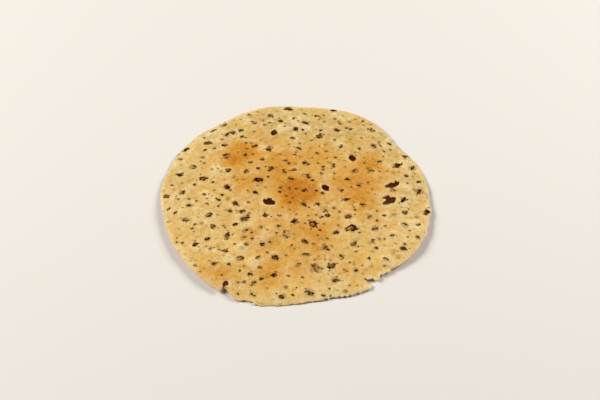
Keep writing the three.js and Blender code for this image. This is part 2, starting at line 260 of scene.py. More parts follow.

# Cracked pepper. The largest pieces: place, length, width, turn, kind, and a tone where it is known. The
# near black tones of the pieces at the rim are partly painted shade.
LANDMARKS = [
    (-44, 54, 4.6, 3, 30, "cluster"),
    (-40, 56, 4.4, 3, 15, "cluster"),
    (-35, 57.5, 4, 2.8, 40, "lump"),
    (-30, -21, 7, 4.7, 35, "lump"),
    (-22.5, 11.5, 6.6, 4.2, 175, "lump", 0),
    (33.5, -28, 7, 4.8, 23, "husk", 0.1),
    (-56.5, 15, 6.1, 4.7, 10, "lump", 0.15),
    (-40, -33.5, 6.5, 4.1, 81, "cluster", 0.4),
    (-13.5, 54.5, 5.2, 4.5, 0, "lump", 0.1),
    (64, 27, 5.8, 4.3, 63, "lump", 0.1),
    (21.5, -56, 5.5, 4, 20, "lump", 0.35),
    (10.5, -25.5, 5.3, 4.8, 60, "husk"),
    (12, -57.5, 7, 3.5, 107, "cluster", 0.9),
    (8, -74, 6.8, 2.8, 158, "lump", 0.1),
    (66, -4, 5.1, 3.5, 72, "lump", 0),
    (-11.5, -49.5, 5.2, 3.5, 160, "lump"),
    (32, -18.5, 5.4, 3.5, 5, "lump", 0.5),
    (47.5, -28, 5.5, 3.1, 34, "lump"),
    (34.5, -40, 5.2, 3.1, 42, "lump", 0.6),
    (6.5, 64, 5.7, 3.3, 170, "lump", 0),
    (-15, 21, 4.6, 3.7, 30, "cluster"),
    (-42, 6.5, 5.7, 3.4, 150, "lump"),
    # at the rim, near black partly as painted shade
    (-4.5, 78.6, 6.4, 4, 165, "lump", 0),
    (25, 77.8, 4.4, 2.8, 10, "lump", 0.1),
    (-69.8, 42.6, 6, 4, 40, "lump", 0),
    (19.5, -17.6, 4.5, 3.2, 20, "lump", 0),
    (15.8, -19, 3.5, 2.2, 20, "lump"),
    # pieces at the rim, near black partly as painted shade
    (79.2, -13.2, 5.6, 3.2, 75, "lump", 0),
    (75.9, 4.4, 5.8, 3.2, 86, "lump", 0),
    (73.5, 25.9, 5.9, 2.6, 63, "lump", 0),
    (-12, -61.8, 5.1, 3.2, 175, "lump", 0.4),
    (30.7, -4, 5.1, 3, 15, "lump", 0),
    (-58.2, -40, 3.9, 3.4, 25, "lump", 0),
    (26.6, 58.1, 4.7, 3.1, 163, "lump", 0),
    (0.2, 58.2, 4, 3.3, 87, "lump"),
    (-17.5, -18.2, 4.6, 3.4, 176, "cluster"),
    (24.2, 24.5, 5, 2.7, 90, "lump"),
    (-30, 19, 4.8, 2.6, 78, "husk", 0),
]

# The other pieces, a seeded scatter up to this count in all, with most lengths near the least
PEPPER_COUNT = 330
PEPPER_PROUD = 155  # the largest pieces, none of which is sunk out of sight
LENGTH_LEAST, LENGTH_MOST, LENGTH_FALLING = 0.9, 5.6, 1.7
SLIMNESS_LEAST, SLIMNESS_MOST = 0.36, 0.74
PEPPER_LEAN = 60  # scattered pieces lie within this many degrees of the X axis
PEPPER_TRIES = 8  # places drawn for each piece, of which the emptiest is kept
PEPPER_EDGE_GAP = 2.5
DAMAGE_GAP = 1.5
PEPPER_SEED = 2024
DRAW_FACTOR, DRAW_STEP, DRAW_RANGE = 1664525, 1013904223, 4294967296

# How the pepper broke: shares of each kind among the larger pieces
PEPPER_DETAIL_SEED = 9
CRUMB_LENGTH = 1.6  # shorter pieces are single crumbs
HUSK_LENGTH = 2.4  # shorter pieces are never husks
LUMP_SHARE, HUSK_SHARE = 0.4, 0.15
SUNK_SHARE = 0.2  # of the pieces that may be sunk in the dough
LARGER_LENGTH = 2.4  # longer pieces swell the sheet and have a pale ring round them
LIE = slice(5)  # where a piece keeps its place, length, width and turn

# The chips of a broken corn, ring by ring: how many at least and at most, how far out as shares of the
# piece, how large as shares of its width, and how much paler than the piece
STRAY_CRUMBS = Ring(1, 3, (1, 1.9), (0.28, 0.48), 0)
PEPPER_RINGS = {
    "lump": [
        Ring(2, 2, (0, 0.3), (0.6, 0.9), 0.4),
        Ring(5, 7, (0.4, 0.7), (0.42, 0.76), -0.15),
        STRAY_CRUMBS,
    ],
    "husk": [
        Ring(1, 1, (0, 0.3), (0.5, 0.7), 0.5),
        Ring(4, 7, (0.3, 1.5), (0.25, 0.45), 0),
    ],
    "cluster": [
        Ring(5, 8, (0.15, 0.8), (0.42, 0.8), 0),
        STRAY_CRUMBS,
    ],
}
RING_JITTER = 0.6  # how far chips stray along their ring, as a share of the gap between them
RING_SCALE = 1.2  # length of a chip of size 1, as a share of the piece's width
RING_TURN = 30
TONE_SHAPE = (1.3, 3.4)  # draws the pieces' tones, most of them dark
TONE_SPREAD = 0.45  # how much chips differ from their piece

# Chips: flat-topped drums knocked flat on a few sides
PEPPER_SHAPE_SEED = 21
CHIP_SLIMNESS = (0.4, 0.7)
CHIP_HEIGHT = 0.9
CHIP_RISE = (0.12, 0.36)  # how far they stand out of the sheet
CHIP_ROUGHING = 0.25
CHIP_FACETS = 6
FACET_REACH = (0.6, 0.95)  # how far out the flat sides are, as a share of the half size
CHIP_SQUARENESS = 4  # 2 is a ball, and more is a drum with a flat top
CHIP_FINENESS = [(2.6, 3), (1.1, 2), (0, 1)]  # chips longer than this start from a ball of this fineness
SHARP_DEGREES = 32
EDGE_HOLD = 0.2  # chips nearer to an edge than this share of their length have fallen off
LIE_STEP = 0.5  # the slope under a chip or a husk is taken over this much to each side

# Husks: curled strips, in shares of their piece apart from the rise and the height
HUSK_RISE = 0.36
HUSK_CURL = (190, 310)  # degrees from end to end
HUSK_STEPS, HUSK_SIDES = 16, 8
HUSK_REACH, HUSK_UNEVENNESS = 0.38, 0.22
HUSK_BREADTH, HUSK_END = 0.22, 0.35  # half the strip's breadth, and what is left of it at the ends
HUSK_GIRTHS, HUSK_SIDE_GIRTHS = (0.7, 1.3), (0.75, 1.25)
HUSK_HALF_HEIGHT = 0.5

# Pepper dust, and flecks and stains in the sheet: how many, how wide and how strong
DUST_COUNT, DUST_LEAST, DUST_MOST = 150, 1.1, 2.6
DUST_SLIMNESS, DUST_TONE = 0.6, 0.1
FLECK_COUNT, FLECK_LEAST, FLECK_MOST = 130, 1.4, 3.4
FLECK_STRENGTH = (0.3, 0.8)
FLECK_FLATNESS = 2.5
STAIN_REACH, STAIN_STRENGTH = 0.9, (0.5, 1)  # under a broken piece
CRUMB_STAIN_REACH, CRUMB_STAIN = 1.5, 0.5  # round a crumb
SUNK_REACH = 1.1  # over a piece that is sunk in the dough
HALO_REACH, HALO_PALENESS, HALO_FLATNESS = 1.9, 0.55, 1.5  # the pale puffed ring round a larger piece

# Colours as screen values
STRAW = (215, 181, 97)
DEEP_STRAW = (209, 165, 72)
# the raw straw is partly painted shade on the far side, and the gold after it is painted light at the front
RAW_AND_SHADED_STRAW = (182, 160, 91)
PAINTED_LIGHT_GOLD = (238, 197, 92)
ROSY_STRAW = (223, 182, 108)
PALE_STRAW = (230, 211, 154)
# creamy rim colour, partly a painted highlight on the edge
LIT_EDGE_CREAM = (238, 216, 166)
TAN = (208, 152, 57)
BROWN = (190, 117, 11)
PORE = (172, 122, 46)
FLECK = (138, 92, 32)
PEPPER_BLACK = (50, 12, 0)
PEPPER_BROWN = (103, 56, 9)
PEPPER_TAN = (150, 108, 50)
PEPPER_ASH = (108, 86, 50)
GLOW = (111, 60, 19)
RIM_GLOW = (6, 5, 4)
FLOOR = (228, 224, 217)
SURROUND = (255, 212, 160)

# Noise in the materials: span and detail
CLOUD_NOISE, BLUSH_NOISE, GRAIN_NOISE = (9, 3), (3.6, 2), (1.4, 3)
PORE_NOISE, DOUGH_NOISE, BUMP_NOISE = (1.9, 1), (0.8, 2), (0.9, 3)
MOTTLE_NOISE, ASH_NOISE, WRINKLE_NOISE = (0.9, 3), (2.2, 2), (0.35, 3)

# How noise and looks are turned into shares: a low and a high value, and what they become if not 0 and 1
CLOUD_SHARE = (0.38, 0.62)
BLUSH_SHARE = (0.46, 0.64, 0.0, 0.75)
PALE_DOUGH_SHARE = (0.52, 0.75, 0.0, 0.45)
PALE_GRAIN_SHARE = (0.3, 0.7, 0.5, 1.0)
PALE_SPOT_SHARE = (0.5, 0.7, 0.0, 0.3)
TOAST_GRAIN_SHARE = (0.3, 0.7, 0.55, 1.45)
TOAST_BLUSH_SHARE = (0.3, 0.7, 0.75, 1.25)
TAN_SHARE = (0.0, 0.45)
BROWN_SHARE = (0.45, 1.0)
BLISTER_SHARE = (0.0, 1.0, 0.0, 0.35)
PORE_SHARE = (0.57, 0.73, 0.0, 0.55)
PORE_DOUGH_SHARE = (0.25, 0.48, 0.4, 0.0)
FLECK_GRAIN_SHARE = (0.35, 0.65, 0.4, 1.0)
SHEET_ROUGHNESS = (0.3, 0.7, 0.5, 0.66)
MOTTLE_SHARE = (0.35, 0.65, -0.55, 0.55)
PEPPER_BROWN_SHARE = (0.0, 0.5)
PEPPER_TAN_SHARE = (0.5, 1.0)
ASH_SHARE = (0.54, 0.68, 0.0, 0.5)
PEPPER_ROUGHNESS = (0.3, 0.7, 0.75, 0.9)

# Surfaces: depth and strength of the finest bumps, shine, and the light that spreads in the sheet
SHEET_BUMP, PEPPER_BUMP = (0.24, 1.0), (0.15, 0.6)
SHEET_SHINE, PEPPER_SHINE = 0.25, 0.0
SPREAD_WEIGHT, SPREAD_BY_COLOUR, SPREAD_REACH = 0.5, (1.0, 0.55, 0.25), 0.7
MIX_SHARE, MIX_FIRST, MIX_SECOND, MIX_RESULT = 0, 6, 7, 2  # sockets of a mix of colours

# The photograph's view: camera height angle, distance, lens and the point that it looks at
CAMERA_ELEVATION = 46.5
CAMERA_DISTANCE = 712.2
CAMERA_LENS = 70.08
CAMERA_SENSOR = 36
CAMERA_TARGET = (3.08, -2.24, 2.5)

# Soft lamps and the floor: places and sizes in metres
LAMPS = [
    Lamp("left", (-1.6, 0.3, 1.17), 1.1, 44.0),
    Lamp("right", (1.15, 0.4, 0.84), 0.8, 17.2),
]
WORLD_STRENGTH = 0.1
FLOOR_SIZE = 8.0
FLOOR_ROUGHNESS, FLOOR_SHINE = 0.8, 0.2


def seeded_draws(seed):
    """Repeatable draws from 0 to 1, the ones that the solid's pepper comes from."""
    state = seed

    def draw():
        nonlocal state
        state = (state * DRAW_FACTOR + DRAW_STEP) % DRAW_RANGE
        return state / DRAW_RANGE

    return draw


def smooth_share(value):
    """A share held between 0 and 1 that starts and ends level."""
    share = np.clip(value, 0, 1)
    return share * share * (3 - 2 * share)


def noise_field(seed, span):
    """Seeded noise over the plane, from -1 to 1, with bumps about one span wide."""
    table = np.random.default_rng(seed).uniform(-1, 1, (NOISE_TILE, NOISE_TILE))

    def field(x, y):
        column = np.floor(x / span).astype(int)
        row = np.floor(y / span).astype(int)
        across = smooth_share(x / span - column)
        along = smooth_share(y / span - row)
        column, next_column = column % NOISE_TILE, (column + 1) % NOISE_TILE
        row, next_row = row % NOISE_TILE, (row + 1) % NOISE_TILE
        near = table[row, column] * (1 - across) + table[row, next_column] * across
        far = table[next_row, column] * (1 - across) + table[next_row, next_column] * across
        return near * (1 - along) + far * along

    return field


def mound_sum(mounds, x, y, flatness=1):
    """What round mounds add up to at places. A flatness over 1 gives flatter tops and steeper sides."""
    total = np.zeros_like(x)
    for mound in mounds:
        reach = MOUND_REACH * mound.width
        near = (np.abs(x - mound.x) < reach) & (np.abs(y - mound.y) < reach)
        away = np.hypot(x[near] - mound.x, y[near] - mound.y) / (mound.width / 2)
        total[near] += mound.height * np.exp(-(away ** (2 * flatness)))
    return total


def outline_radius(angle):
    """Radius of the round in a direction given in radians."""
    radius = RADIUS
    for count, depth, turn in OUTLINE_WAVES:
        radius = radius + depth * np.cos(count * angle - math.radians(turn))
    for heading, spread, depth in RIM_DENTS:
        away = ((np.degrees(angle) - heading + 180) % 360 - 180) / spread
        radius = radius - depth * np.exp(-(away**2))
    return radius


def sheet_height(x, y):
    """Height of the middle of the sheet: dome, rim lobes, cockles and the largest blisters."""
    share = np.hypot(x, y) / RADIUS
    angle = np.arctan2(y, x) - math.radians(LOBE_TURN)
    height = DOME_RISE * (1 - share**DOME_POWER)
    height = height + LEVELLING_X * x + LEVELLING_Y * y
    height = height + LOBE_HEIGHT * share**2 * np.cos(LOBE_COUNT * angle)
    for span, heading, rise, phase in COCKLES:
        along = x * math.cos(math.radians(heading)) + y * math.sin(math.radians(heading))
        height = height + rise * np.sin(2 * math.pi * along / span + math.radians(phase))
    return height + mound_sum(large_blisters, x, y)


def scattered_mounds(rng, count, least, most, steepness):
    """Seeded mounds spread evenly over the round."""
    reach = RADIUS * np.sqrt(rng.random(count))
    angle = 2 * math.pi * rng.random(count)
    width = rng.uniform(least, most, count)
    height = steepness * width * rng.uniform(*MOUND_HEIGHTS, count)
    return [Mound(*row) for row in zip(reach * np.cos(angle), reach * np.sin(angle), width, height)]


def distance_outside(corners, x, y):
    """Distance from places to a closed outline, negative inside it."""
    nearest = np.full_like(x, np.inf)
    inside = np.zeros(x.shape, bool)
    for (ax, ay), (bx, by) in zip(corners, np.roll(corners, -1, axis=0)):
        along = ((x - ax) * (bx - ax) + (y - ay) * (by - ay)) / ((bx - ax) ** 2 + (by - ay) ** 2)
        along = np.clip(along, 0, 1)
        away = np.hypot(x - ax - along * (bx - ax), y - ay - along * (by - ay))
        nearest = np.minimum(nearest, away)
        if ay != by:
            crosses = (ay > y) != (by > y)
            inside ^= crosses & (x < ax + (y - ay) * (bx - ax) / (by - ay))
    return np.where(inside, -nearest, nearest)


def nearest_outside(outlines, x, y):
    """Distance from places to the nearest of some closed outlines, negative inside one."""
    return np.min([distance_outside(np.array(corners), x, y) for corners in outlines], axis=0)


def torn_distance(x, y):
    """Distance from places to the nearest tear."""
    return nearest_outside(TEARS, x, y) - TEAR_GROWTH


def damage_distance(x, y):
    """Distance from places to the nearest tear, notch or split."""
    return np.minimum(nearest_outside(RIM_DAMAGE, x, y), torn_distance(x, y))


def raggedness(angle):
    """How ragged the rim is in a direction given in radians, from 0 to 1."""
    return np.clip(np.cos(angle - math.radians(RAGGED_HEADING)), 0, 1) ** 2


def inside_depth(x, y):
    """Distance from places in to the nearest broken edge of the sheet, negative off the sheet."""
    angle = np.arctan2(y, x)
    depth = outline_radius(angle) - np.hypot(x, y)
    depth = np.minimum(depth, damage_distance(x, y))
    return depth + EDGE_WANDER * (1 + RAGGED_EXTRA * raggedness(angle)) * edge_noise(x, y)


def slopes(field, x, y, step):
    """How fast a field over the plane rises along X and along Y, taken over a step to each side."""
    slope_x = (field(x + step, y) - field(x - step, y)) / (2 * step)
    slope_y = (field(x, y + step) - field(x, y - step)) / (2 * step)
    return slope_x, slope_y


def fine_relief(x, y):
    """Blisters, pimples, ripples, torn lips and the swellings over pepper, above the plain sheet."""
    relief = mound_sum(small_blisters, x, y, DOME_FLATNESS)
    relief = relief + mound_sum(pimples, x, y)
    relief = relief + mound_sum(swellings, x, y)
    for field, rise in ripples:
        relief = relief + rise * field(x, y)
    return relief + LIP_HEIGHT * np.exp(-((damage_distance(x, y) / LIP_REACH) ** 2))


def half_thickness(depth):
    """Half the sheet's thickness, thinning towards its edges."""
    return THICKNESS / 2 * (EDGE_SHARE + (1 - EDGE_SHARE) * smooth_share(depth / EDGE_TAPER))


def top_height(x, y):
    """Height of the upper face, before the whole is set on the table."""
    return sheet_height(x, y) + fine_relief(x, y) + half_thickness(inside_depth(x, y))


def scatter_pepper():
    """Places and sizes of the pepper, largest first, by the rule that the solid's pepper follows."""
    draw = seeded_draws(PEPPER_SEED)
    pieces = [Pepper(*row) for row in LANDMARKS]
    taken = [(piece.x, piece.y, piece.length) for piece in pieces]
    taken += [(x, y, 2 * DAMAGE_GAP) for corners in [*TEARS, *RIM_DAMAGE] for x, y in corners]
    scattered = PEPPER_COUNT - len(LANDMARKS)
    for rank in range(scattered):
        falling = (1 - rank / scattered) ** LENGTH_FALLING
        length = LENGTH_LEAST + (LENGTH_MOST - LENGTH_LEAST) * falling
        best = (-math.inf, 0, 0)
        for _ in range(PEPPER_TRIES):
            angle = 2 * math.pi * draw()
            reach = math.sqrt(draw()) * (outline_radius(angle) - PEPPER_EDGE_GAP)
            x, y = reach * math.cos(angle), reach * math.sin(angle)
            gap = min(math.hypot(x - ox, y - oy) - size / 2 for ox, oy, size in taken)
            if gap > best[0]:
                best = (gap, x, y)
        slimness = SLIMNESS_LEAST + (SLIMNESS_MOST - SLIMNESS_LEAST) * draw()
        turn = PEPPER_LEAN * (2 * draw() - 1)
        pieces.append(Pepper(best[1], best[2], length, length * slimness, turn))
        taken.append((best[1], best[2], length))
    return pieces


def beside(piece, across, along):
    """A place given as shares of a piece's half length and half width, turned with the piece."""
    turn = math.radians(piece.turn)
    right, up = across * piece.length / 2, along * piece.width / 2
    x = piece.x + right * math.cos(turn) - up * math.sin(turn)
    y = piece.y + right * math.sin(turn) + up * math.cos(turn)
    return x, y


def chip_at(rng, x, y, length, width, turn, tone):
    """A flat-topped chip of pepper, sunk until little of it stands out of the sheet."""
    own_tone = tone + rng.uniform(-TONE_SPREAD, TONE_SPREAD)
    return Chip(x, y, length, width, CHIP_HEIGHT, turn, rng.uniform(*CHIP_RISE), own_tone)


def ring_of_chips(rng, piece, ring, tone):
    """Chips lying round a piece, as a ring says."""
    chips = []
    count = rng.integers(ring.least, ring.most + 1)
    start = rng.random()
    for k in range(count):
        angle = 2 * math.pi * (start + (k + RING_JITTER * rng.random()) / count)
        reach = rng.uniform(*ring.reaches)
        x, y = beside(piece, reach * math.cos(angle), reach * math.sin(angle))
        length = RING_SCALE * piece.width * rng.uniform(*ring.sizes)
        width = length * rng.uniform(*CHIP_SLIMNESS)
        turn = piece.turn + rng.uniform(-RING_TURN, RING_TURN)
        chips.append(chip_at(rng, x, y, length, width, turn, tone + ring.shade))
    return chips


def curled_husk(rng, piece, tone):
    """A husk that curls round a piece and is open on one side."""
    opening = 360 * rng.random()
    return Husk(*piece[LIE], opening, rng.uniform(*HUSK_CURL), HUSK_RISE, tone)


def broken_parts(rng, piece, kind, tone):
    """The parts of a broken corn: its husk if it kept one, and then its chips, ring by ring."""
    parts = [curled_husk(rng, piece, tone)] if kind == "husk" else []
    for ring in PEPPER_RINGS[kind]:
        parts += ring_of_chips(rng, piece, ring, tone)
    return parts


def pepper_kind(rng, piece):
    """How a piece broke, drawn by shares that depend on its length."""
    lot = rng.random()
    if piece.length < CRUMB_LENGTH:
        return "crumb"
    if lot < LUMP_SHARE:
        return "lump"
    if lot < LUMP_SHARE + HUSK_SHARE and piece.length > HUSK_LENGTH:
        return "husk"
    return "cluster"


def mound_at(piece, reach, height):
    """A mound over a piece, as wide as a share of its length."""
    return Mound(piece.x, piece.y, reach * piece.length, height)


def break_piece(rng, piece, may_sink):
    """The chips and the husk of one piece of pepper, and its stains."""
    kind = piece.kind or pepper_kind(rng, piece)
    tone = rng.beta(*TONE_SHAPE) if piece.tone is None else piece.tone
    stains = []
    if kind in PEPPER_RINGS:
        stains.append(mound_at(piece, STAIN_REACH, rng.uniform(*STAIN_STRENGTH)))
    if may_sink and rng.random() < SUNK_SHARE:
        return [], [*stains, mound_at(piece, SUNK_REACH, 1)]
    if kind in PEPPER_RINGS:
        return broken_parts(rng, piece, kind, tone), stains
    return [chip_at(rng, *piece[LIE], tone)], [mound_at(piece, CRUMB_STAIN_REACH, CRUMB_STAIN)]


def scatter_dust(rng):
    """Specks of pepper all over, and their stains."""
    chips, stains = [], []
    for x, y, length, _ in scattered_mounds(rng, DUST_COUNT, DUST_LEAST, DUST_MOST, 0):
        turn = rng.uniform(-PEPPER_LEAN, PEPPER_LEAN)
        chips.append(chip_at(rng, x, y, length, DUST_SLIMNESS * length, turn, DUST_TONE))
        stains.append(mound_at(chips[-1], CRUMB_STAIN_REACH, CRUMB_STAIN))
    return chips, stains


def break_pepper(pieces):
    """Chips and husks of all the pepper that hasn't fallen off, and the flecks in the dough."""
    rng = np.random.default_rng(PEPPER_DETAIL_SEED)
    broken = [break_piece(rng, piece, rank >= PEPPER_PROUD) for rank, piece in enumerate(pieces)]
    broken.append(scatter_dust(rng))
    parts = [part for own_parts, _ in broken for part in own_parts]
    flecks = [fleck for _, own_flecks in broken for fleck in own_flecks]
    for fleck in scattered_mounds(rng, FLECK_COUNT, FLECK_LEAST, FLECK_MOST, 0):
        flecks.append(fleck._replace(height=rng.uniform(*FLECK_STRENGTH)))
    depth = inside_depth(np.array([part.x for part in parts]), np.array([part.y for part in parts]))
    return [part for part, own in zip(parts, depth) if own > EDGE_HOLD * part.length], flecks


def lattice():
    """An even lattice of triangles over the round: points in plan, and corners seen anticlockwise."""
    reach = RADIUS + EDGE_MARGIN
    row_gap = SPACING * math.sqrt(3) / 2
    columns = int(2 * reach / SPACING) + 2
    rows = int(2 * reach / row_gap) + 2
    column, row = np.meshgrid(np.arange(columns), np.arange(rows))
    x = (column + 0.5 * (row % 2)) * SPACING - reach
    y = row * row_gap - reach
    index = np.arange(rows * columns).reshape(rows, columns)
    here, right = index[:-1, :-1], index[:-1, 1:]
    above, above_right = index[1:, :-1], index[1:, 1:]
    even = (np.arange(rows - 1) % 2 == 0)[:, None]
    lower = np.stack([here, right, np.where(even, above, above_right)], axis=-1)
    upper = np.stack([np.where(even, right, here), above_right, above], axis=-1)
    triangles = np.concatenate([lower.reshape(-1, 3), upper.reshape(-1, 3)])
    return x.ravel(), y.ravel(), triangles


def snap_to_edges(x, y):
    """Moves the points that lie near an edge of the sheet on to it, and returns every point's depth."""
    near = np.flatnonzero(np.abs(inside_depth(x, y)) < SNAP_REACH)
    start_x, start_y = x[near], y[near]
    for _ in range(SNAP_STEPS):
        depth = inside_depth(x[near], y[near])
        slope_x, slope_y = slopes(inside_depth, x[near], y[near], SNAP_SLOPE_STEP)
        squared_slope = np.maximum(slope_x**2 + slope_y**2, LEAST_SQUARED_SLOPE)
        x[near] -= depth * slope_x / squared_slope
        y[near] -= depth * slope_y / squared_slope
    strayed = np.hypot(x[near] - start_x, y[near] - start_y) > STRAY_LIMIT
    x[near[strayed]], y[near[strayed]] = start_x[strayed], start_y[strayed]
    depth = inside_depth(x, y)
    depth[near[~strayed]] = 0
    return depth


def clip_to_sheet(x, y, triangles, depth):
    """The lattice cut off at the edges of the sheet: points in plan and triangles."""
    corner_depth = depth[triangles]
    whole = (corner_depth >= 0).all(axis=1)
    middle_depth = inside_depth(x[triangles].mean(axis=1), y[triangles].mean(axis=1))
    whole &= (corner_depth > 0).any(axis=1) | (middle_depth > 0)
    crossed = (corner_depth > 0).any(axis=1) & (corner_depth < 0).any(axis=1)
    points = list(zip(x, y))
    faces = triangles[whole].tolist()
    crossings = {}

    def crossing(a, b):
        key = (min(a, b), max(a, b))
        if key not in crossings:
            share = depth[a] / (depth[a] - depth[b])
            crossings[key] = len(points)
            points.append((x[a] + share * (x[b] - x[a]), y[a] + share * (y[b] - y[a])))
        return crossings[key]

    for corners in triangles[crossed].tolist():
        kept = []
        for a, b in zip(corners, corners[1:] + corners[:1]):
            if depth[a] >= 0:
                kept.append(a)
            if depth[a] * depth[b] < 0:
                kept.append(crossing(a, b))
        faces += [[kept[0], kept[k], kept[k + 1]] for k in range(1, len(kept) - 1)]
    used, faces = np.unique(np.array(faces), return_inverse=True)
    return np.array(points)[used], faces.reshape(-1, 3)


def open_edges(faces, count):
    """Edges that only one triangle has, in that triangle's direction."""
    start, end = faces.ravel(), np.roll(faces, -1, axis=1).ravel()
    lonely = ~np.isin(start * count + end, end * count + start)
    return start[lonely], end[lonely]


def shown(name, data):
    """A new object in the scene that shows a mesh, a light or a camera."""
    made = bpy.data.objects.new(name, data)
    bpy.context.collection.objects.link(made)
    return made


def new_object(name, points, faces, looks, material):
    """A smooth mesh object in metres, with a value for each point under each look's name."""
    mesh = bpy.data.meshes.new(name)
    mesh.from_pydata(np.asarray(points) * MM, [], faces)
    mesh.shade_smooth()
    for look, values in looks.items():
        layer = mesh.attributes.new(look, "FLOAT", "POINT")
        layer.data.foreach_set("value", np.asarray(values, np.float32))
    mesh.materials.append(material)
    return shown(name, mesh)


def patchiness(patches, x, y):
    """How far places lie in patches with wandering borders, from 0 to 1."""
    shift_x, shift_y = [PATCH_WANDER * noise_field(seed, PATCH_SPAN)(x, y) for seed in PATCH_SEEDS]
    mounds = [Mound(px, py, 2 * radius, strength) for px, py, radius, strength in patches]
    return np.clip(mound_sum(mounds, x + shift_x, y + shift_y), 0, 1)


def blistering(x, y):
    """How far places lie on the largest blisters, from 0 to 1."""
    tops = [m._replace(height=1) for m in large_blisters]
    return np.clip(mound_sum(tops, x, y, BLISTER_FLATNESS), 0, 1)


def paleness(x, y, depth):
    """How pale places are, from 0 to 1: on blisters and pimples, round pepper, at edges, in dried parts,
    and at the front as painted light.
    """
    domes = [m._replace(height=m.height / m.width / SMALL_BLISTERS["steepness"]) for m in small_blisters]
    points = [m._replace(height=1) for m in pimples]
    halos = [mound_at(p, HALO_REACH, HALO_PALENESS) for p in larger_pepper]
    pale = blistering(x, y) + DOME_PALENESS * mound_sum(domes, x, y, DOME_FLATNESS)
    pale = pale + PIMPLE_PALENESS * mound_sum(points, x, y)
    pale = pale + mound_sum(halos, x, y, HALO_FLATNESS)
    pale = pale + EDGE_PALENESS * np.exp(-((depth / EDGE_PALE_REACH) ** 2))
    # the pale patches at the front are partly painted light
    return np.clip(pale + patchiness(PALE_AND_FRONT_LIGHT, x, y), 0, 1)


def sheet_looks(x, y, depth, layer):
    """How far points are toasted, raw (partly painted shade), lit by painted front light, pale, blistered,
    flecked, near to the rim, and creamy (partly a painted highlight), 0 to 1.
    """
    speck = np.clip(mound_sum(flecks, x, y, FLECK_FLATNESS), 0, 1)
    torn = torn_distance(x, y) < LIP_REACH
    rim = np.where(torn, 0, np.exp(-((depth / CREAM_REACH) ** 2)))
    # the creamy rim is partly a painted highlight on the edge, strongest at the front right
    cream_and_edge_light = rim * (CREAM_LEAST + CREAM_AND_LIGHT_EXTRA * raggedness(np.arctan2(y, x)))
    # the raw patches are partly painted shade on the far side, and the gold ones are painted light at the
    # front
    toast, raw_and_far_shade, front_light = [patchiness(patches, x, y) for patches in (TOASTED, RAW_AND_FAR_SHADE, PAINTED_FRONT_LIGHT)]
    hidden = (layer == LOWER) | (layer == BAND) & torn
    pale = paleness(x, y, depth)
    spared = PALE_SPARED * pale * (1 - toast)
    # the browned tear walls are painted shade in the tears
    toast = np.where(hidden, np.maximum(toast, UNDERSIDE_TOAST_AND_TEAR_SHADE), toast * (1 - spared))
    looks = dict(toast=toast, raw_and_far_shade=raw_and_far_shade, front_light=front_light, pale=pale, blister=blistering(x, y))
    return dict(looks, speck=speck, rim=rim, cream_and_edge_light=cream_and_edge_light)


def edge_band(plan, faces, upper, lower):
    """The rounded edge from the upper to the lower face: points half way down, and faces."""
    count = len(plan)
    start, end = open_edges(faces, count)
    rim = np.unique(start)
    outward = np.zeros((count, 2))
    normal = np.column_stack([plan[end, 1] - plan[start, 1], plan[start, 0] - plan[end, 0]])
    np.add.at(outward, start, normal)
    np.add.at(outward, end, normal)
    outward = outward[rim] / np.linalg.norm(outward[rim], axis=1, keepdims=True)
    middle = (upper[rim] + lower[rim]) / 2
    middle[:, :2] += EDGE_BULGE * outward
    band = np.zeros(count, int)
    band[rim] = 2 * count + np.arange(len(rim))
    upper_band = np.column_stack([end, start, band[start], band[end]])
    lower_band = np.column_stack([band[end], band[start], count + start, count + end])
    return middle, [*upper_band.tolist(), *lower_band.tolist()]


def make_sheet(material):
    """The thin wavy sheet: upper and lower face split alike, joined by a rounded broken edge."""
    x, y, triangles = lattice()
    depth = snap_to_edges(x, y)
    plan, faces = clip_to_sheet(x, y, triangles, depth)
    x, y = plan.T
    count = len(plan)
    depth = np.maximum(inside_depth(x, y), 0)
    plain = sheet_height(x, y)
    relief = fine_relief(x, y)
    half = half_thickness(depth)
    upper = np.column_stack([x, y, plain + relief + half])
    lower = np.column_stack([x, y, np.maximum(plain + UNDERSIDE_SHARE * relief - half, lowest)])
    middle, band_faces = edge_band(plan, faces, upper, lower)
    points = np.concatenate([upper, lower, middle])
    points[:, 2] -= lowest
    layer = np.repeat([UPPER, LOWER, BAND], [count, count, len(middle)])
    depth = np.concatenate([depth, depth, np.zeros(len(middle))])
    looks = sheet_looks(*points[:, :2].T, depth, layer)
    all_faces = [*faces.tolist(), *(count + faces[:, ::-1]).tolist(), *band_faces]
    return new_object("papadum_sheet", points, all_faces, looks, material)


def ball(subdivisions):
    """Points and triangles of a ball of radius 1."""
    mesh = bmesh.new()
    bmesh.ops.create_icosphere(mesh, subdivisions=subdivisions, radius=1)
    mesh.verts.ensure_lookup_table()
    points = np.array([vertex.co[:] for vertex in mesh.verts])
    faces = np.array([[vertex.index for vertex in face.verts] for face in mesh.faces])
    mesh.free()
    return points, faces


def chip_shape(rng, chip):
    """An angular chip about the origin: a drum knocked flat on a few sides."""
    fineness = next(own for least, own in CHIP_FINENESS if chip.length > least)
    points, faces = balls[fineness]
    across = np.hypot(points[:, 0], points[:, 1])
    swell = across**CHIP_SQUARENESS + np.abs(points[:, 2]) ** CHIP_SQUARENESS
    points = points * swell[:, None] ** (-1 / CHIP_SQUARENESS)
    points = points * (1 + CHIP_ROUGHING * (rng.random((len(points), 1)) - 0.5))
    for _ in range(CHIP_FACETS):
        facing = rng.normal(size=3)
        facing /= np.linalg.norm(facing)
        over = np.maximum(0, points @ facing - rng.uniform(*FACET_REACH))
        points = points - over[:, None] * facing
    return points * np.array([chip.length, chip.width, chip.height]) / 2, faces


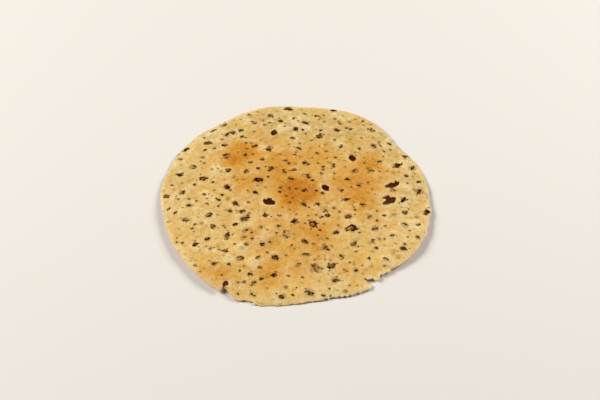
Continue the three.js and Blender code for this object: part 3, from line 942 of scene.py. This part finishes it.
def strip_faces():
    """Triangles of a strip made of rings of points and closed at both ends."""
    faces = []
    for step in range(HUSK_STEPS - 1):
        for side in range(HUSK_SIDES):
            here, beyond = step * HUSK_SIDES, (step + 1) * HUSK_SIDES
            following = (side + 1) % HUSK_SIDES
            faces.append([here + side, beyond + following, here + following])
            faces.append([here + side, beyond + side, beyond + following])
    last = (HUSK_STEPS - 1) * HUSK_SIDES
    for side in range(1, HUSK_SIDES - 1):
        faces.append([0, side, side + 1])
        faces.append([last, last + side + 1, last + side])
    return np.array(faces)


def husk_shape(rng, husk):
    """A curled strip of husk about the origin, tapering to both ends."""
    share = np.linspace(0, 1, HUSK_STEPS)
    angle = np.radians(husk.opening + husk.span * share)
    swell = 1 + HUSK_UNEVENNESS * (rng.random(HUSK_STEPS) - 0.5)
    out = np.column_stack([np.cos(angle), np.sin(angle)])
    path = HUSK_REACH * swell[:, None] * out * np.array([husk.length, husk.width])
    around = 2 * math.pi * np.arange(HUSK_SIDES) / HUSK_SIDES
    girth = HUSK_END + (1 - HUSK_END) * np.sin(math.pi * share) ** 0.5
    girth = (girth * rng.uniform(*HUSK_GIRTHS, HUSK_STEPS))[:, None]
    half_width = HUSK_BREADTH * husk.width * girth
    half_width = half_width * rng.uniform(*HUSK_SIDE_GIRTHS, (HUSK_STEPS, HUSK_SIDES))
    across = half_width * np.cos(around)
    rings = np.empty((HUSK_STEPS, HUSK_SIDES, 3))
    rings[..., :2] = path[:, None, :] + across[..., None] * out[:, None, :]
    rings[..., 2] = HUSK_HALF_HEIGHT * girth * np.sin(around)
    return rings.reshape(-1, 3), strip_faces()


def laid_on_sheet(points, part, height, slope_x, slope_y):
    """A shape turned as its part says, laid along the sheet and moved to its place and height."""
    turn = math.radians(part.turn)
    x = points[:, 0] * math.cos(turn) - points[:, 1] * math.sin(turn)
    y = points[:, 0] * math.sin(turn) + points[:, 1] * math.cos(turn)
    z = points[:, 2] + slope_x * x + slope_y * y
    return np.column_stack([x + part.x, y + part.y, z + height])


def make_pepper(name, parts, shape, material):
    """One kind of pepper as one mesh: every part shaped, laid on the sheet and sunk to its rise."""
    rng = np.random.default_rng(PEPPER_SHAPE_SEED)
    x = np.array([part.x for part in parts])
    y = np.array([part.y for part in parts])
    height = top_height(x, y) - lowest
    slope_x, slope_y = slopes(sheet_height, x, y, LIE_STEP)
    points, faces, tones = [], [], []
    count = 0
    for k, part in enumerate(parts):
        own_points, own_faces = shape(rng, part)
        own_height = height[k] + part.rise - own_points[:, 2].max()
        points.append(laid_on_sheet(own_points, part, own_height, slope_x[k], slope_y[k]))
        faces.append(own_faces + count)
        tones.append(np.full(len(own_points), part.tone))
        count += len(own_points)
    looks = {"tone": np.concatenate(tones)}
    made = new_object(name, np.concatenate(points), np.concatenate(faces).tolist(), looks, material)
    made.data.set_sharp_from_angle(angle=math.radians(SHARP_DEGREES))
    return made


def linear(colour):
    """A colour of screen values as the linear light that shaders take, by the sRGB curve."""
    share = np.array(colour) / 255
    light = np.where(share <= 0.04045, share / 12.92, ((share + 0.055) / 1.055) ** 2.4)
    return (*light.tolist(), 1.0)


def feed(tree, socket, value):
    """Sets a socket to a value, or links it to another node's output."""
    if isinstance(value, bpy.types.NodeSocket):
        tree.links.new(value, socket)
    else:
        socket.default_value = value


def mixed(tree, share, first, second):
    """The first colour, a mix or screen values, turning into the second as the share goes from 0 to 1."""
    mix = tree.nodes.new("ShaderNodeMix")
    mix.data_type = "RGBA"
    feed(tree, mix.inputs[MIX_SHARE], share)
    feed(tree, mix.inputs[MIX_FIRST], linear(first) if isinstance(first, tuple) else first)
    feed(tree, mix.inputs[MIX_SECOND], linear(second))
    return mix.outputs[MIX_RESULT]


def layered(tree, colour, layers):
    """A colour with others laid over it in turn, each given as its share and its screen values."""
    for share, over in layers:
        colour = mixed(tree, share, colour, over)
    return colour


def worked(tree, operation, first, second):
    """Two numbers added or multiplied, and held between 0 and 1."""
    sum_node = tree.nodes.new("ShaderNodeMath")
    sum_node.operation = operation
    sum_node.use_clamp = True
    feed(tree, sum_node.inputs[0], first)
    feed(tree, sum_node.inputs[1], second)
    return sum_node.outputs[0]


def ranged(tree, value, low, high, to_low=0.0, to_high=1.0):
    """A number taken from one range to another and held there."""
    span = tree.nodes.new("ShaderNodeMapRange")
    for socket, number in zip(span.inputs, (value, low, high, to_low, to_high)):
        feed(tree, socket, number)
    return span.outputs[0]


def attribute(tree, name):
    """A value that the mesh carries at its points."""
    reader = tree.nodes.new("ShaderNodeAttribute")
    reader.attribute_name = name
    return reader.outputs["Fac"]


def noise(tree, span, detail):
    """Noise in the object's own space, with bumps about one span wide."""
    place = tree.nodes.new("ShaderNodeTexCoord")
    pattern = tree.nodes.new("ShaderNodeTexNoise")
    feed(tree, pattern.inputs["Vector"], place.outputs["Object"])
    feed(tree, pattern.inputs["Scale"], 1 / (span * MM))
    feed(tree, pattern.inputs["Detail"], detail)
    return pattern.outputs["Fac"]


def bumped(tree, height, depth, strength):
    """A surface direction disturbed by a height pattern of a depth in millimetres."""
    bump = tree.nodes.new("ShaderNodeBump")
    feed(tree, bump.inputs["Strength"], strength)
    feed(tree, bump.inputs["Distance"], depth * MM)
    feed(tree, bump.inputs["Height"], height)
    return bump.outputs["Normal"]


def new_material(name):
    """A material with its node tree and its surface shader."""
    material = bpy.data.materials.new(name)
    material.use_nodes = True
    return material, material.node_tree, material.node_tree.nodes["Principled BSDF"]


def let_light_through(tree, surface, colour):
    """Adds light of a colour that passes through a thin surface to what the surface sends back."""
    through = tree.nodes.new("ShaderNodeBsdfTranslucent")
    feed(tree, through.inputs["Color"], colour)
    both = tree.nodes.new("ShaderNodeAddShader")
    tree.links.new(surface.outputs["BSDF"], both.inputs[0])
    tree.links.new(through.outputs["BSDF"], both.inputs[1])
    tree.links.new(both.outputs["Shader"], tree.nodes["Material Output"].inputs["Surface"])


def straw_colour(tree, blush, dough):
    """The dried dough: straw in clouds, with rosy and pale parts, raw parts that are partly painted shade
    on the far side, and painted light in gold at the front.
    """
    clouds = noise(tree, *CLOUD_NOISE)
    return layered(tree, STRAW, [
        (ranged(tree, clouds, *CLOUD_SHARE), DEEP_STRAW),
        (ranged(tree, blush, *BLUSH_SHARE), ROSY_STRAW),
        # painted shade in the raw parts, painted light in the gold at the front
        (attribute(tree, "raw_and_far_shade"), RAW_AND_SHADED_STRAW),
        (attribute(tree, "front_light"), PAINTED_LIGHT_GOLD),
        (ranged(tree, dough, *PALE_DOUGH_SHARE), PALE_STRAW),
    ])


def roasted_colour(tree, colour, grain, blush):
    """A colour puffed pale and toasted brown in grains, with the tops of the largest blisters pale."""
    pale = worked(tree, "MULTIPLY", attribute(tree, "pale"), ranged(tree, grain, *PALE_GRAIN_SHARE))
    pale = worked(tree, "ADD", pale, ranged(tree, grain, *PALE_SPOT_SHARE))
    toast = worked(tree, "MULTIPLY", attribute(tree, "toast"), ranged(tree, grain, *TOAST_GRAIN_SHARE))
    toast = worked(tree, "MULTIPLY", toast, ranged(tree, blush, *TOAST_BLUSH_SHARE))
    return layered(tree, colour, [
        (pale, PALE_STRAW),
        (ranged(tree, toast, *TAN_SHARE), TAN),
        (ranged(tree, toast, *BROWN_SHARE), BROWN),
        (ranged(tree, attribute(tree, "blister"), *BLISTER_SHARE), PALE_STRAW),
    ])


def specked_colour(tree, colour, grain, dough):
    """A colour with darker pores, flecks and stains, and a creamy rim that is partly a painted highlight.
    """
    pores = noise(tree, *PORE_NOISE)
    speck = worked(tree, "MULTIPLY", attribute(tree, "speck"), ranged(tree, grain, *FLECK_GRAIN_SHARE))
    return layered(tree, colour, [
        (ranged(tree, pores, *PORE_SHARE), PORE),
        (ranged(tree, dough, *PORE_DOUGH_SHARE), PORE),
        (speck, FLECK),
        # creamy rim, partly a painted highlight
        (attribute(tree, "cream_and_edge_light"), LIT_EDGE_CREAM),
    ])


def sheet_material():
    """Crisp lentil sheet: straw, pale on blisters, browned where it toasted, with light passing through."""
    material, tree, surface = new_material("crisp_sheet")
    blush = noise(tree, *BLUSH_NOISE)
    grain = noise(tree, *GRAIN_NOISE)
    dough = noise(tree, *DOUGH_NOISE)
    colour = straw_colour(tree, blush, dough)
    colour = roasted_colour(tree, colour, grain, blush)
    colour = specked_colour(tree, colour, grain, dough)
    feed(tree, surface.inputs["Base Color"], colour)
    feed(tree, surface.inputs["Roughness"], ranged(tree, grain, *SHEET_ROUGHNESS))
    feed(tree, surface.inputs["Normal"], bumped(tree, noise(tree, *BUMP_NOISE), *SHEET_BUMP))
    surface.inputs["Specular IOR Level"].default_value = SHEET_SHINE
    surface.inputs["Subsurface Weight"].default_value = SPREAD_WEIGHT
    surface.inputs["Subsurface Radius"].default_value = SPREAD_BY_COLOUR
    surface.inputs["Subsurface Scale"].default_value = SPREAD_REACH * MM
    let_light_through(tree, surface, mixed(tree, attribute(tree, "rim"), GLOW, RIM_GLOW))
    return material


def pepper_material():
    """Cracked black pepper: near black to tan by piece, mottled, ashy in places and wrinkled."""
    material, tree, surface = new_material("pepper")
    mottle = noise(tree, *MOTTLE_NOISE)
    tone = worked(tree, "ADD", attribute(tree, "tone"), ranged(tree, mottle, *MOTTLE_SHARE))
    colour = layered(tree, PEPPER_BLACK, [
        (ranged(tree, tone, *PEPPER_BROWN_SHARE), PEPPER_BROWN),
        (ranged(tree, tone, *PEPPER_TAN_SHARE), PEPPER_TAN),
        (ranged(tree, noise(tree, *ASH_NOISE), *ASH_SHARE), PEPPER_ASH),
    ])
    feed(tree, surface.inputs["Base Color"], colour)
    feed(tree, surface.inputs["Roughness"], ranged(tree, mottle, *PEPPER_ROUGHNESS))
    feed(tree, surface.inputs["Normal"], bumped(tree, noise(tree, *WRINKLE_NOISE), *PEPPER_BUMP))
    surface.inputs["Specular IOR Level"].default_value = PEPPER_SHINE
    return material


def floor_material():
    """A plain pale floor."""
    material, _, surface = new_material("pale_floor")
    surface.inputs["Base Color"].default_value = linear(FLOOR)
    surface.inputs["Roughness"].default_value = FLOOR_ROUGHNESS
    surface.inputs["Specular IOR Level"].default_value = FLOOR_SHINE
    return material


def make_floor():
    """The floor that the papadum lies on."""
    half = FLOOR_SIZE / 2
    corners = [(-half, -half, 0), (half, -half, 0), (half, half, 0), (-half, half, 0)]
    mesh = bpy.data.meshes.new("floor")
    mesh.from_pydata(corners, [], [(0, 1, 2, 3)])
    mesh.materials.append(floor_material())
    floor = shown("floor", mesh)


def make_lights():
    """Large soft lamps that look at the papadum, and an even dim surround."""
    for lamp in LAMPS:
        light = bpy.data.lights.new(lamp.name, "AREA")
        light.shape = "DISK"
        light.size = lamp.size
        light.energy = lamp.watts
        holder = shown(lamp.name, light)
        holder.location = lamp.place
        holder.rotation_euler = holder.location.to_track_quat("Z", "Y").to_euler()
    world = bpy.data.worlds.new("surround")
    world.use_nodes = True
    backdrop = world.node_tree.nodes["Background"]
    backdrop.inputs["Color"].default_value = linear(SURROUND)
    backdrop.inputs["Strength"].default_value = WORLD_STRENGTH
    bpy.context.scene.world = world
    bpy.context.scene.view_settings.view_transform = "Standard"


def make_camera():
    """The camera at the photograph's angle and distance."""
    elevation = math.radians(CAMERA_ELEVATION)
    lens = bpy.data.cameras.new("camera")
    lens.lens = CAMERA_LENS
    lens.sensor_width = CAMERA_SENSOR
    camera = shown("camera", lens)
    back = np.array([0, -math.cos(elevation), math.sin(elevation)])
    camera.location = (np.array(CAMERA_TARGET) + CAMERA_DISTANCE * back) * MM
    camera.rotation_euler = (math.pi / 2 - elevation, 0, 0)
    bpy.context.scene.camera = camera


def lowest_point():
    """Height of the flat feet before the sheet is set on the table."""
    x, y, _ = lattice()
    depth = inside_depth(x, y)
    on_sheet = depth > 0
    x, y = x[on_sheet], y[on_sheet]
    lower = sheet_height(x, y) + UNDERSIDE_SHARE * fine_relief(x, y) - half_thickness(depth[on_sheet])
    return lower.min() + FEET_FLAT


edge_noise = noise_field(EDGE_SEED, EDGE_SPAN)
ripples = [(noise_field(seed, span), rise) for seed, span, rise in RIPPLES]
relief_draws = np.random.default_rng(RELIEF_SEED)
large_blisters = [Mound(x, y, width, BLISTER_STEEPNESS * width) for x, y, width in BLISTERS]
small_blisters = scattered_mounds(relief_draws, **SMALL_BLISTERS)
pimples = scattered_mounds(relief_draws, **PIMPLES)
pepper = scatter_pepper()
larger_pepper = [piece for piece in pepper if piece.length > LARGER_LENGTH]
swellings = [mound_at(piece, SWELLING_REACH, SWELLING_HEIGHT) for piece in larger_pepper]
parts, flecks = break_pepper(pepper)
chips = [part for part in parts if isinstance(part, Chip)]
husks = [part for part in parts if isinstance(part, Husk)]
lowest = lowest_point()

balls = {fineness: ball(fineness) for _, fineness in CHIP_FINENESS}
pepper_look = pepper_material()
sheet = make_sheet(sheet_material())
pepper_chips = make_pepper("pepper_chips", chips, chip_shape, pepper_look)
pepper_husks = make_pepper("pepper_husks", husks, husk_shape, pepper_look)

for piece, slot in ((sheet, "crisp_sheet"), (pepper_chips, "pepper"), (pepper_husks, "pepper")):
    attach(piece, BODY)
    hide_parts(NODE)

make_floor()
make_lights()
make_camera()
